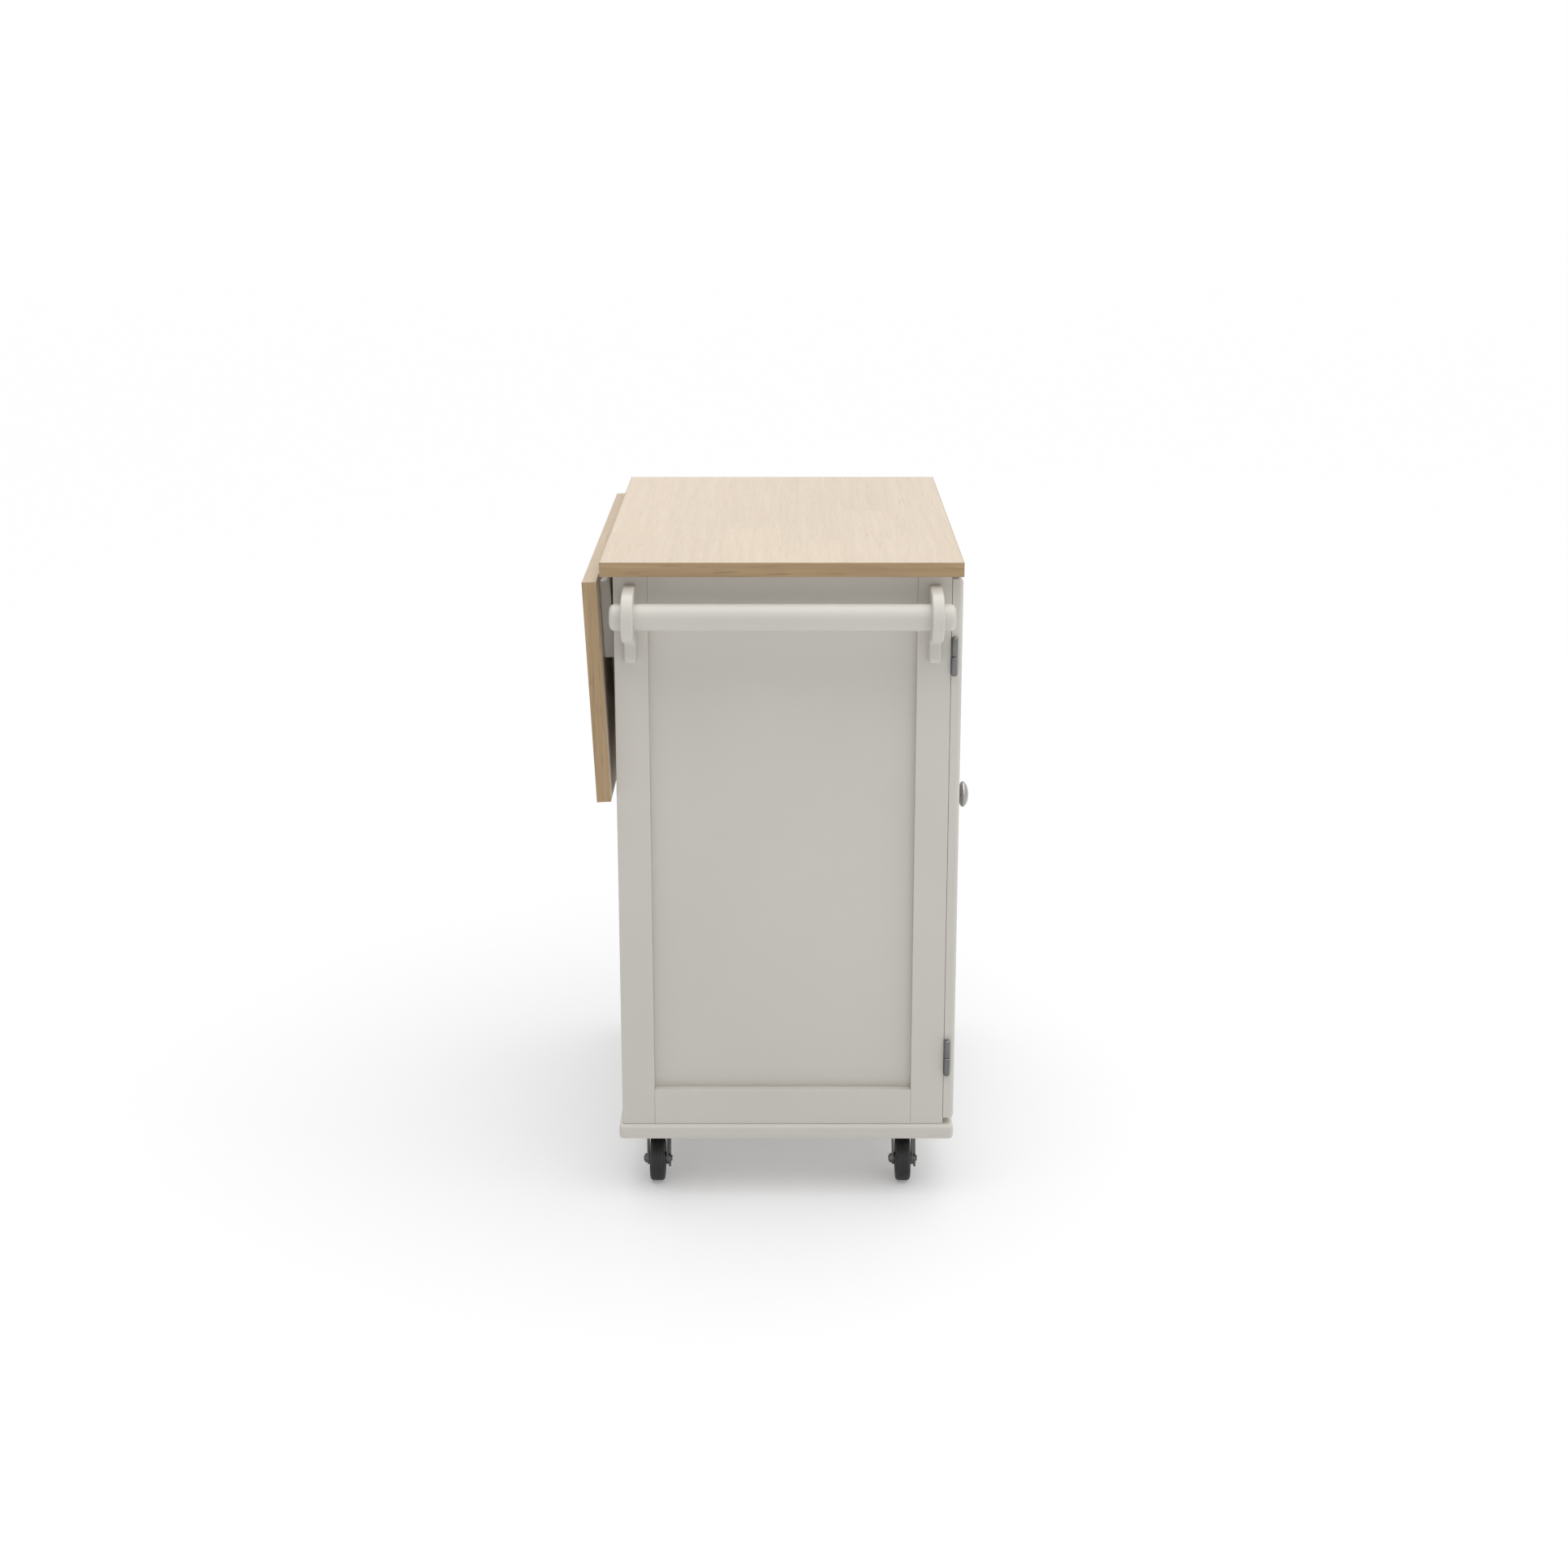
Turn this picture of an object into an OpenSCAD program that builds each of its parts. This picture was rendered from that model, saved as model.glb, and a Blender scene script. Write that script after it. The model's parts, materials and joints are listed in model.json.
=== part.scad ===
// Butcher block table: a wheeled kitchen table with a wooden top, a drop leaf,
// one shaker door, four drawers, a towel bar and four swivel casters.
// Millimetres. +X runs along the table away from the towel bar, -Y is the door side,
// +Z is up, and the floor is Z = 0.

/* [Tabletop] */
// Height of the worktop above the floor
overall_height = 914; // [860:1:960]
// Length of the top and of the leaf
top_length = 680; // [600:1:820]
// How far the top reaches past the front of the cabinet, over the door
top_front_overhang = 14; // [8:1:30]
// Thickness of the top and of the leaf
top_thickness = 19; // [16:1:25]
// How far the top reaches past each end of the cabinet
top_end_overhang = 20; // [10:1:40]
// How far the top reaches past the back of the cabinet
top_back_overhang = 16; // [14:1:24]

/* [Drop leaf] */
// Width of the leaf
leaf_width = 300; // [220:1:360]
// Gap between the hanging leaf's battens and the back of the cabinet
stop_gap = 0.4; // [0.3:0.1:1]
// Gap between the raised leaf and the top
leaf_gap = 2; // [1:0.5:3]
// Distance of the hinge pins below the underside of the top
leaf_pin_drop = 4.4; // [4.2:0.1:6]
// Length of each of the two battens under the leaf
batten_length = 80; // [50:1:100]
// Width of each batten, across the leaf
batten_width = 105; // [80:1:120]
// Thickness of each batten
batten_thickness = 14.5; // [10:0.5:15]
// Distance from the leaf's end to the batten
batten_end_inset = 50; // [30:1:80]
// Distance from the hinged edge of the leaf to the batten
batten_edge_inset = 9; // [6:1:15]

/* [Leaf hinges] */
// Width of one leaf hinge
leaf_hinge_width = 60; // [40:1:76]
// Distance between neighbouring leaf hinges
leaf_hinge_spacing = 120; // [90:1:140]
// Reach of a hinge plate from its pin
leaf_hinge_reach = 32; // [24:1:40]
// Thickness of a hinge plate
leaf_hinge_plate = 1.6; // [1.2:0.1:2]
// Radius of the leaf hinge's knuckles
leaf_knuckle_radius = 4.1; // [3.6:0.1:4.2]

/* [Leaf stays] */
// Distance of each stay from the middle of the table
stay_offset = 180; // [168:1:200]
// Distance between the pins of a brace
stay_length = 110; // [100:1:125]
// Distance of the lower pin below the underside of the top
stay_pin_drop = 80; // [70:1:88]
// Distance of the lower pin from the back of the cabinet
stay_pin_standoff = 7; // [6:0.5:8]
// Width of the brace bar
brace_width = 8; // [6:0.5:8]
// Thickness of the brace bar
brace_thickness = 3; // [2:0.5:3]
// Height of the slotted channel under the leaf
channel_height = 10; // [8:0.5:10]

/* [Cabinet] */
// Depth of the cabinet, without the door
body_depth = 446; // [440:1:520]
// Thickness of stiles and rails
frame_thickness = 18; // [15:1:22]
// Width of the side stiles
stile_width = 45; // [35:1:60]
// Height of the side rails
rail_height = 51; // [40:1:70]
// Thickness of the side, back and door panels
panel_thickness = 5; // [3:0.5:6]
// Height of the front top rail
front_top_rail = 38; // [25:1:39]
// Height of the front bottom rail
front_bottom_rail = 20; // [12:1:26]
// Height of the back rails
back_rail_height = 110; // [90:1:140]
// Thickness of the partition between door bay and drawers
partition_thickness = 16; // [12:1:20]
// Thickness of the shelf
shelf_thickness = 15; // [12:1:20]
// Height of the shelf above the base board
shelf_height = 380; // [200:1:560]
// Play around the shelf
shelf_play = 1.5; // [1:0.5:4]
// Radius of a shelf pin
shelf_pin_radius = 2.5; // [2:0.5:4]

/* [Base] */
// Thickness of the base board
base_thickness = 22; // [18:1:28]
// How far the base reaches past the ends and the back
base_overhang = 5; // [2:1:12]

/* [Door and drawers] */
// Thickness of the door and of the drawer fronts
front_thickness = 13.75; // [12:0.25:19]
// Gap between the cabinet and the fronts, filled by the hinge plates
front_gap = 1.25; // [1.25:0.05:2]
// Gap between neighbouring fronts
front_reveal = 3; // [2:0.5:5]
// Gap below the door
door_bottom_gap = 9; // [5:1:12]
// Gap above the door
door_top_gap = 6.5; // [4:0.5:10]
// Width of the door's stiles and rails
door_frame_width = 55; // [40:1:70]
// Number of drawers
drawer_count = 4; // [4:1:4]
// Thickness of a drawer's sides, back and inner front
drawer_wall = 12; // [9:1:15]
// Thickness of a drawer's bottom
drawer_bottom = 5; // [4:1:8]
// Height of a drawer box
drawer_box_height = 125; // [90:1:130]
// Length of a drawer box, front to back
drawer_box_length = 400; // [340:1:402]
// Width of the space for one runner pair
runner_space = 13; // [12:0.5:16]
// Height of a drawer runner
runner_height = 35; // [25:1:45]

/* [Door hinges] */
// Height of a door hinge
door_hinge_height = 51; // [40:1:70]
// Radius of the door hinge's barrel
door_barrel_radius = 4.2; // [3.5:0.1:4.6]
// Distance from the top of the door to the middle of the upper hinge
upper_hinge_inset = 104; // [60:1:160]
// Distance from the bottom of the door to the middle of the lower hinge
lower_hinge_inset = 92; // [60:1:160]
// Reach of a hinge plate behind the door
door_plate_reach = 14; // [10:1:16]

/* [Knobs] */
// Diameter of a knob's head
knob_diameter = 38; // [28:1:42]
// How far a knob stands out
knob_projection = 35; // [25:1:40]
// Distance from the door's free edge to its knob
knob_edge_inset = 30; // [22:1:40]

/* [Towel bar] */
// How far the towel bar sticks out past each bracket
bar_end = 16; // [8:1:30]
// Diameter of the towel bar
bar_diameter = 35; // [25:1:38]
// Distance of the bar's axis from the cabinet's end
bar_standoff = 42; // [36:1:60]
// Distance of the bar's axis below the underside of the top
bar_drop = 49; // [45:1:70]
// Radius of a bracket's round nose
nose_radius = 33; // [26:1:36]
// Thickness of a bracket
bracket_thickness = 16; // [12:1:20]
// Distance from the cabinet's front or back to the middle of a bracket
bracket_inset = 22; // [12:1:34]
// Thickness of a bracket's back plate
bracket_plate = 14; // [8:1:18]
// Length of a bracket below the bar's axis
bracket_tail = 70; // [50:1:90]

/* [Casters] */
// Height of a caster, from the floor to the base
caster_height = 90; // [88:1:110]
// Diameter of a caster wheel
wheel_diameter = 63; // [50:1:64]
// Width of a caster wheel
wheel_width = 21; // [16:1:24]
// Distance between a swivel axis and its wheel's axle
caster_trail = 20; // [14:1:26]
// Distance from the base's end to a swivel axis
caster_end_inset = 85; // [60:1:110]
// Distance from the base's front edge to a swivel axis
caster_front_inset = 67; // [60:1:90]
// Distance from the base's back edge to a swivel axis
caster_back_inset = 50; // [46:1:80]
// Radius of an axle
axle_radius = 4; // [3:0.5:5]
// Running clearance of pins, axles and bores
running_clearance = 0.05; // [0.03:0.01:0.09]

/* [Hidden] */
$fn = 64;

// Heights
top_under = overall_height - top_thickness;
base_top = caster_height + base_thickness;
body_height = top_under - base_top;

// Cabinet, with its middle at X = 0 and Y = 0
body_length = top_length - 2 * top_end_overhang;
end_x = body_length / 2;
front_y = -body_depth / 2;
back_y = body_depth / 2;
inner_x = end_x - frame_thickness;
top_back_y = back_y + top_back_overhang;

// Fronts
front_back_y = front_y - front_gap;
front_face_y = front_back_y - front_thickness;
fronts_bottom = base_top + door_bottom_gap;
fronts_top = top_under - door_top_gap;
bay_split = front_reveal / 2;
door_right_x = -bay_split;

// Drop leaf, modelled level and then swung down
pivot = [top_back_y, top_under - leaf_pin_drop];
leaf_near_y = top_back_y + leaf_gap;

// The leaf swings down until its battens or its free edge is stop_gap from the cabinet
batten_edge = [leaf_gap + batten_edge_inset + batten_width, leaf_pin_drop - batten_thickness];
free_edge = [leaf_gap + leaf_width, leaf_pin_drop];
function drop_to_stop(p) = atan2(p[1], p[0]) + acos((stop_gap - top_back_overhang) / norm(p));
leaf_drop = min(drop_to_stop(batten_edge), drop_to_stop(free_edge));
function swung(p, angle) = pivot + [
    (p[0] - pivot[0]) * cos(angle) + (p[1] - pivot[1]) * sin(angle),
    -(p[0] - pivot[0]) * sin(angle) + (p[1] - pivot[1]) * cos(angle)
];

// Stays: a brace turns on a lower pin, and its tip slides in a channel under the leaf
stay_pin = [back_y + stay_pin_standoff, top_under - stay_pin_drop];
slot_z = top_under - channel_height / 2;
raised_pin = swung(stay_pin, -leaf_drop);
slot_start = stay_pin[0] + sqrt(pow(stay_length, 2) - pow(slot_z - stay_pin[1], 2));
slot_end = raised_pin[0] + sqrt(pow(stay_length, 2) - pow(slot_z - raised_pin[1], 2));
brace_tip = swung([slot_end, slot_z], leaf_drop);
brace_angle = atan2(brace_tip[1] - stay_pin[1], brace_tip[0] - stay_pin[0]);
side_gap = 0.6;

// Door hinge axis, outside the cabinet's left end
door_axis = [-end_x - door_barrel_radius - 0.1, front_y - door_barrel_radius];
door_hinge_z = [fronts_bottom + lower_hinge_inset, fronts_top - upper_hinge_inset];
door_plate = 1;

// Drawers
drawer_pitch = (fronts_top - fronts_bottom + front_reveal) / drawer_count;
drawer_front_height = drawer_pitch - front_reveal;
drawer_left_x = partition_thickness / 2 + runner_space;
drawer_right_x = inner_x - runner_space;
drawer_lift = 20;

// Towel bar
bar_z = top_under - bar_drop;
bar_x = -end_x - bar_standoff;
bracket_y = body_depth / 2 - bracket_inset;
half_bar = bracket_y + bracket_thickness / 2 + bar_end;

// Casters
base_end_x = end_x + base_overhang;
base_back_y = back_y + base_overhang;
base_front_y = front_face_y;
caster_x = base_end_x - caster_end_inset;
caster_front_y = base_front_y + caster_front_inset;
caster_back_y = base_back_y - caster_back_inset;
axle_z = wheel_diameter / 2;
plate_thickness = 2.5;
cup_height = 4;
leg_thickness = 2.5;
leg_gap = wheel_width / 2 + 2;
crown_top = caster_height - plate_thickness - cup_height - 0.4;
crown_thickness = 3;
fork_radius = 19;
kingpin_radius = 4;

// The origin is on the floor, under the middle of the whole table
shift_x = (end_x + bar_standoff + nose_radius - end_x - top_end_overhang) / 2;
leaf_outer_y = swung([leaf_near_y, overall_height], leaf_drop)[0];
shift_y = (knob_projection - front_face_y - leaf_outer_y) / 2;

// ---- Helpers ----

module centred_on_origin() {
    translate([shift_x, shift_y, 0]) children();
}

module block(low, high) {
    translate(low) cube(high - low);
}

// A cylinder along X from x0 to x1, at a (y, z) point
module x_rod(x0, x1, at, r) {
    translate([x0, at[0], at[1]]) rotate([0, 90, 0]) cylinder(h = x1 - x0, r = r);
}

// A cylinder along Y from y0 to y1, at an (x, z) point
module y_rod(y0, y1, at, r) {
    translate([at[0], y1, at[1]]) rotate([90, 0, 0]) cylinder(h = y1 - y0, r = r);
}

// Turns pieces that are drawn under the level leaf down to where it hangs
module hanging() {
    translate([0, pivot[0], pivot[1]])
        rotate([-leaf_drop, 0, 0])
            translate([0, -pivot[0], -pivot[1]]) children();
}

// ---- Top and leaf ----

module tabletop() {
    color("burlywood")
        block([-top_length / 2, front_y - top_front_overhang, top_under],
              [top_length / 2, top_back_y, overall_height]);
}

module drop_leaf() {
    color("burlywood") hanging()
        block([-top_length / 2, leaf_near_y, top_under],
              [top_length / 2, leaf_near_y + leaf_width, overall_height]);
}

module leaf_battens() {
    near_y = leaf_near_y + batten_edge_inset;
    outer_x = top_length / 2 - batten_end_inset;
    color("gainsboro") hanging()
        for (side = [-1, 1])
            translate([side * (outer_x - batten_length / 2), 0, 0])
                block([-batten_length / 2, near_y, top_under - batten_thickness],
                      [batten_length / 2, near_y + batten_width, top_under]);
}

leaf_hinge_x = [-leaf_hinge_spacing, 0, leaf_hinge_spacing];
knuckle_width = leaf_hinge_width / 3;
knuckle_gap = 0.3;

// One barrel knuckle of a leaf hinge, with its bore
module leaf_knuckle(x0, x1) {
    x_rod(x0, x1, pivot, leaf_knuckle_radius);
}

module leaf_pin_bore(x) {
    x_rod(x - leaf_hinge_width, x + leaf_hinge_width, pivot, leaf_pin_radius + running_clearance);
}
leaf_pin_radius = 1.75;

// The plate under the top, which is let into the back rail
module leaf_hinge_fixed_plate(x) {
    block([x - leaf_hinge_width / 2, pivot[0] - leaf_hinge_reach, top_under - leaf_hinge_plate],
          [x + leaf_hinge_width / 2, pivot[0] - leaf_knuckle_radius - 0.5, top_under]);
}

module leaf_hinge_fixed_plates() {
    color("dimgray")
        for (x = leaf_hinge_x)
            difference() {
                union() {
                    leaf_hinge_fixed_plate(x);
                    for (side = [-1, 1])
                        translate([x + side * knuckle_width, 0, 0]) {
                            leaf_knuckle(-knuckle_width / 2, knuckle_width / 2);
                            block([-knuckle_width / 2, pivot[0] - leaf_knuckle_radius - 1,
                                   top_under - leaf_hinge_plate],
                                  [knuckle_width / 2, pivot[0], top_under - 0.2]);
                        }
                }
                leaf_pin_bore(x);
            }
}

module leaf_hinge_moving_plates() {
    half = knuckle_width / 2 - knuckle_gap;
    color("dimgray") hanging()
        for (x = leaf_hinge_x)
            difference() {
                union() {
                    block([x - leaf_hinge_width / 2, leaf_near_y + leaf_knuckle_radius,
                           top_under - leaf_hinge_plate],
                          [x + leaf_hinge_width / 2, pivot[0] + leaf_hinge_reach, top_under]);
                    translate([x, 0, 0]) {
                        leaf_knuckle(-half, half);
                        block([-half, pivot[0], top_under - leaf_hinge_plate],
                              [half, leaf_near_y + leaf_knuckle_radius + 1, top_under - 0.2]);
                    }
                }
                leaf_pin_bore(x);
            }
}

module leaf_hinge_pins() {
    color("silver")
        for (x = leaf_hinge_x)
            x_rod(x - leaf_hinge_width / 2, x + leaf_hinge_width / 2, pivot, leaf_pin_radius);
}

// ---- Stays ----

rivet_radius = 2;
ear_x = brace_thickness / 2 + side_gap;
ear_thickness = 2;

// A bracket on the back rail, with the rivet that the brace turns on
module stay_bracket() {
    block([-ear_x - 20, back_y, stay_pin[1] - 18], [-ear_x, back_y + 2, stay_pin[1] + 18]);
    block([-ear_x - ear_thickness, back_y, stay_pin[1] - 9],
          [-ear_x, stay_pin[0], stay_pin[1] + 9]);
    x_rod(-ear_x - ear_thickness, -ear_x, stay_pin, 5.5);
    x_rod(-ear_x - ear_thickness - 1.5, brace_thickness / 2, stay_pin, rivet_radius);
    x_rod(-ear_x - ear_thickness - 1.5, -ear_x - ear_thickness, stay_pin, 3.5);
}

module stay_brackets() {
    color("dimgray")
        for (side = [-1, 1])
            translate([side * stay_offset, 0, 0]) mirror([side > 0 ? 1 : 0, 0, 0]) stay_bracket();
}

// The slotted channel under the leaf that a brace's tip slides along
module stay_channel() {
    near = slot_start - 8;
    far = slot_end + 8;
    flange = ear_x;
    difference() {
        union() {
            block([flange, near, top_under - channel_height], [flange + 2, far, top_under]);
            block([flange, near, top_under - 2], [flange + 16, far, top_under]);
        }
        x_rod(flange - 1, flange + 3, [slot_start, slot_z], rivet_radius + 0.2);
        x_rod(flange - 1, flange + 3, [slot_end, slot_z], rivet_radius + 0.2);
        block([flange - 1, slot_start, slot_z - rivet_radius - 0.2],
              [flange + 3, slot_end, slot_z + rivet_radius + 0.2]);
    }
}

module stay_channels() {
    color("dimgray") hanging()
        for (side = [-1, 1])
            translate([side * stay_offset, 0, 0]) mirror([side > 0 ? 1 : 0, 0, 0]) stay_channel();
}

// The flat bar between the lower pin and the channel, with a round eye at each end
module stay_brace(side) {
    bar_width = brace_width - 2;
    eye = brace_width / 2;
    color("silver")
        translate([side * stay_offset - brace_thickness / 2, stay_pin[0], stay_pin[1]])
            rotate([brace_angle, 0, 0]) rotate([90, 0, 90])
                linear_extrude(height = brace_thickness)
                    difference() {
                        union() {
                            circle(r = eye);
                            translate([stay_length, 0]) circle(r = eye);
                            translate([0, -bar_width / 2]) square([stay_length, bar_width]);
                        }
                        circle(r = rivet_radius + running_clearance);
                    }
}

// ---- Cabinet ----

// Both stiles of an end frame, from the base to the top
module side_stiles(side) {
    x0 = side < 0 ? -end_x : inner_x;
    color("gainsboro") {
        block([x0, front_y, base_top], [x0 + frame_thickness, front_y + stile_width, top_under]);
        block([x0, back_y - stile_width, base_top], [x0 + frame_thickness, back_y, top_under]);
    }
}

module side_rails(side) {
    x0 = side < 0 ? -end_x : inner_x;
    y0 = front_y + stile_width;
    y1 = back_y - stile_width;
    color("gainsboro") {
        block([x0, y0, base_top], [x0 + frame_thickness, y1, base_top + rail_height]);
        block([x0, y0, top_under - rail_height], [x0 + frame_thickness, y1, top_under]);
    }
}

// The recessed panel, flush with the inside of its frame
module side_panel(side) {
    x0 = side < 0 ? -inner_x - panel_thickness : inner_x;
    color("lightgray")
        block([x0, front_y + stile_width, base_top + rail_height],
              [x0 + panel_thickness, back_y - stile_width, top_under - rail_height]);
}

module front_rails() {
    color("gainsboro") {
        block([-inner_x, front_y, base_top],
              [inner_x, front_y + frame_thickness, base_top + front_bottom_rail]);
        block([-inner_x, front_y, top_under - front_top_rail],
              [inner_x, front_y + frame_thickness, top_under]);
    }
}

module front_centre_stile() {
    color("gainsboro")
        block([-partition_thickness / 2, front_y, base_top + front_bottom_rail],
              [partition_thickness / 2, front_y + frame_thickness, top_under - front_top_rail]);
}

module partition() {
    color("gainsboro")
        block([-partition_thickness / 2, front_y + frame_thickness, base_top],
              [partition_thickness / 2, back_y - frame_thickness, top_under]);
}

module back_rails() {
    color("gainsboro") {
        block([-inner_x, back_y - frame_thickness, base_top],
              [inner_x, back_y, base_top + rail_height]);
        difference() {
            block([-inner_x, back_y - frame_thickness, top_under - back_rail_height],
                  [inner_x, back_y, top_under]);
            for (x = leaf_hinge_x) leaf_hinge_fixed_plate(x);
        }
    }
}

module back_panel() {
    color("lightgray")
        block([-inner_x, back_y - frame_thickness, base_top + rail_height],
              [inner_x, back_y - frame_thickness + panel_thickness, top_under - back_rail_height]);
}

module base_board() {
    color("gainsboro")
        block([-base_end_x, base_front_y, caster_height], [base_end_x, base_back_y, base_top]);
}

shelf_z = base_top + shelf_height;
shelf_front_y = front_y + frame_thickness + shelf_play;
shelf_back_y = back_y - frame_thickness - shelf_play;

module shelf() {
    color("gainsboro")
        block([-inner_x + shelf_play, shelf_front_y, shelf_z],
              [-partition_thickness / 2 - shelf_play, shelf_back_y, shelf_z + shelf_thickness]);
}

module shelf_pins() {
    reach = 9;
    pin_z = shelf_z - shelf_pin_radius;
    color("silver")
        for (y = [shelf_front_y + 60, shelf_back_y - 60]) {
            x_rod(-inner_x, -inner_x + reach, [y, pin_z], shelf_pin_radius);
            x_rod(-partition_thickness / 2 - reach, -partition_thickness / 2, [y, pin_z],
                  shelf_pin_radius);
        }
}

// ---- Towel bar ----

// An upright back plate with a round nose that the bar passes through
module towel_bracket(side) {
    y0 = side * bracket_y - bracket_thickness / 2;
    y1 = y0 + bracket_thickness;
    nose_top = bar_z + nose_radius;
    color("whitesmoke")
        difference() {
            union() {
                block([-end_x - bracket_plate, y0, bar_z - bracket_tail], [-end_x, y1, nose_top + 2]);
                block([bar_x, y0, bar_z - nose_radius], [-end_x, y1, nose_top]);
                y_rod(y0, y1, [bar_x, bar_z], nose_radius);
            }
            y_rod(y0 - 1, y1 + 1, [bar_x, bar_z], bar_diameter / 2);
        }
}

module towel_bar() {
    color("whitesmoke")
        y_rod(-half_bar, half_bar, [bar_x, bar_z], bar_diameter / 2);
}

// ---- Door ----

module door_stiles() {
    color("gainsboro")
        for (x = [-end_x, door_right_x - door_frame_width])
            block([x, front_face_y, fronts_bottom], [x + door_frame_width, front_back_y, fronts_top]);
}

module door_rails() {
    x0 = -end_x + door_frame_width;
    x1 = door_right_x - door_frame_width;
    color("gainsboro")
        for (z = [fronts_bottom, fronts_top - door_frame_width])
            block([x0, front_face_y, z], [x1, front_back_y, z + door_frame_width]);
}

module door_panel() {
    color("lightgray")
        block([-end_x + door_frame_width, front_back_y - panel_thickness,
               fronts_bottom + door_frame_width],
              [door_right_x - door_frame_width, front_back_y, fronts_top - door_frame_width]);
}

door_pin_radius = 1.75;
half_hinge = door_hinge_height / 2;

module door_pin_bore() {
    translate([door_axis[0], door_axis[1], 0])
        cylinder(h = overall_height, r = door_pin_radius + running_clearance);
}

// Half a hinge: one knuckle and the plate that lies in the gap behind the door
module door_hinge_leaf(z0, z1, y0, y1) {
    difference() {
        union() {
            translate([door_axis[0], door_axis[1], z0])
                cylinder(h = z1 - z0, r = door_barrel_radius);
            block([door_axis[0], y0, z0], [-end_x + door_plate_reach, y1, z1]);
        }
        door_pin_bore();
    }
}

module door_hinge_fixed_leaves() {
    color("dimgray")
        for (z = door_hinge_z)
            door_hinge_leaf(z + 0.2, z + half_hinge, front_y - door_plate, front_y);
}

module door_hinge_moving_leaves() {
    color("dimgray")
        for (z = door_hinge_z)
            door_hinge_leaf(z - half_hinge, z - 0.2, front_back_y, front_back_y + door_plate);
}

module door_hinge_pins() {
    color("silver")
        for (z = door_hinge_z)
            translate([door_axis[0], door_axis[1], z - half_hinge - 1])
                cylinder(h = door_hinge_height + 2, r = door_pin_radius);
}

catch_z = fronts_top - 260;

module magnetic_catch() {
    color("white")
        block([-partition_thickness / 2 - 14, front_y + 0.2, catch_z],
              [-partition_thickness / 2, front_y + 22, catch_z + 46]);
}

module catch_strike() {
    color("silver")
        block([-partition_thickness / 2 - 13, front_back_y, catch_z + 4],
              [-partition_thickness / 2 - 1, front_back_y + 1, catch_z + 42]);
}

// ---- Knobs ----

// A round knob: foot, waist, flared neck and domed head, standing on Z = 0
module knob_shape() {
    head = knob_diameter / 2;
    rim = knob_projection * 0.74;
    dome = [for (a = [0:15:90]) [head * cos(a), rim + (knob_projection - rim) * sin(a)]];
    neck = [for (t = [0:0.2:1]) [5.5 + (head - 1.5 - 5.5) * t * t, rim * (0.35 + 0.5 * t)]];
    foot = [[0, 0], [9, 0], [9, 2], [6.5, 3.5]];
    rotate_extrude() polygon(concat(foot, neck, dome));
}

module knob(x, z) {
    color("silver") translate([x, front_face_y, z]) rotate([90, 0, 0]) knob_shape();
}

module door_knob() {
    knob(door_right_x - knob_edge_inset, (fronts_bottom + fronts_top) / 2);
}

// ---- Drawers, counted from the bottom ----

function drawer_z(i) = fronts_bottom + (i - 1) * drawer_pitch;

module drawer_front(i) {
    color("gainsboro")
        block([bay_split, front_face_y, drawer_z(i)],
              [end_x, front_back_y, drawer_z(i) + drawer_front_height]);
}

// Two sides, an inner front, a back and a bottom, open at the top
module drawer_box(i) {
    z0 = drawer_z(i) + drawer_lift;
    z1 = z0 + drawer_box_height;
    y0 = front_back_y;
    y1 = front_back_y + drawer_box_length;
    color("wheat") {
        block([drawer_left_x, y0, z0], [drawer_left_x + drawer_wall, y1, z1]);
        block([drawer_right_x - drawer_wall, y0, z0], [drawer_right_x, y1, z1]);
        block([drawer_left_x + drawer_wall, y0, z0],
              [drawer_right_x - drawer_wall, y0 + drawer_wall, z1]);
        block([drawer_left_x + drawer_wall, y1 - drawer_wall, z0],
              [drawer_right_x - drawer_wall, y1, z1]);
        block([drawer_left_x + drawer_wall, y0 + drawer_wall, z0],
              [drawer_right_x - drawer_wall, y1 - drawer_wall, z0 + drawer_bottom]);
    }
}

module drawer_knob(i) {
    knob((bay_split + end_x) / 2, drawer_z(i) + drawer_front_height / 2);
}

// A pair of fixed runners for each drawer
module drawer_runners() {
    y0 = front_y + frame_thickness + 2;
    y1 = front_back_y + drawer_box_length;
    width = runner_space - 0.5;
    color("silver")
        for (i = [1:drawer_count]) {
            z = drawer_z(i) + drawer_lift + 30;
            block([partition_thickness / 2, y0, z],
                  [partition_thickness / 2 + width, y1, z + runner_height]);
            block([inner_x - width, y0, z], [inner_x, y1, z + runner_height]);
        }
}

// ---- Casters ----

module at_caster(end, y) {
    translate([end * caster_x, y, 0]) children();
}

module caster_plates() {
    kingpin_low = crown_top - crown_thickness - 4;
    color("dimgray")
        for (end = [-1, 1], y = [caster_front_y, caster_back_y])
            at_caster(end, y) {
                block([-30, -23, caster_height - plate_thickness], [30, 23, caster_height]);
                translate([0, 0, caster_height - plate_thickness - cup_height])
                    cylinder(h = cup_height, r = fork_radius);
                translate([0, 0, kingpin_low])
                    cylinder(h = crown_top + 1 - kingpin_low, r = kingpin_radius);
                translate([0, 0, kingpin_low]) cylinder(h = 3.6, r = kingpin_radius + 2.5);
            }
}

// The outline of a fork leg: from the crown down and back to the axle
module fork_leg(y0, y1) {
    reach = [-caster_trail, axle_z];
    translate([0, y1, 0]) rotate([90, 0, 0])
        linear_extrude(height = y1 - y0)
            difference() {
                union() {
                    polygon([[-fork_radius, crown_top], [fork_radius - 4, crown_top],
                             [fork_radius - 4, crown_top - 14], [reach[0] + 8, axle_z - 4],
                             [reach[0] - 8, axle_z - 4], [-fork_radius - 6, crown_top - 20]]);
                    translate(reach) circle(r = 9);
                }
                translate(reach) circle(r = axle_radius);
            }
}

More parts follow.
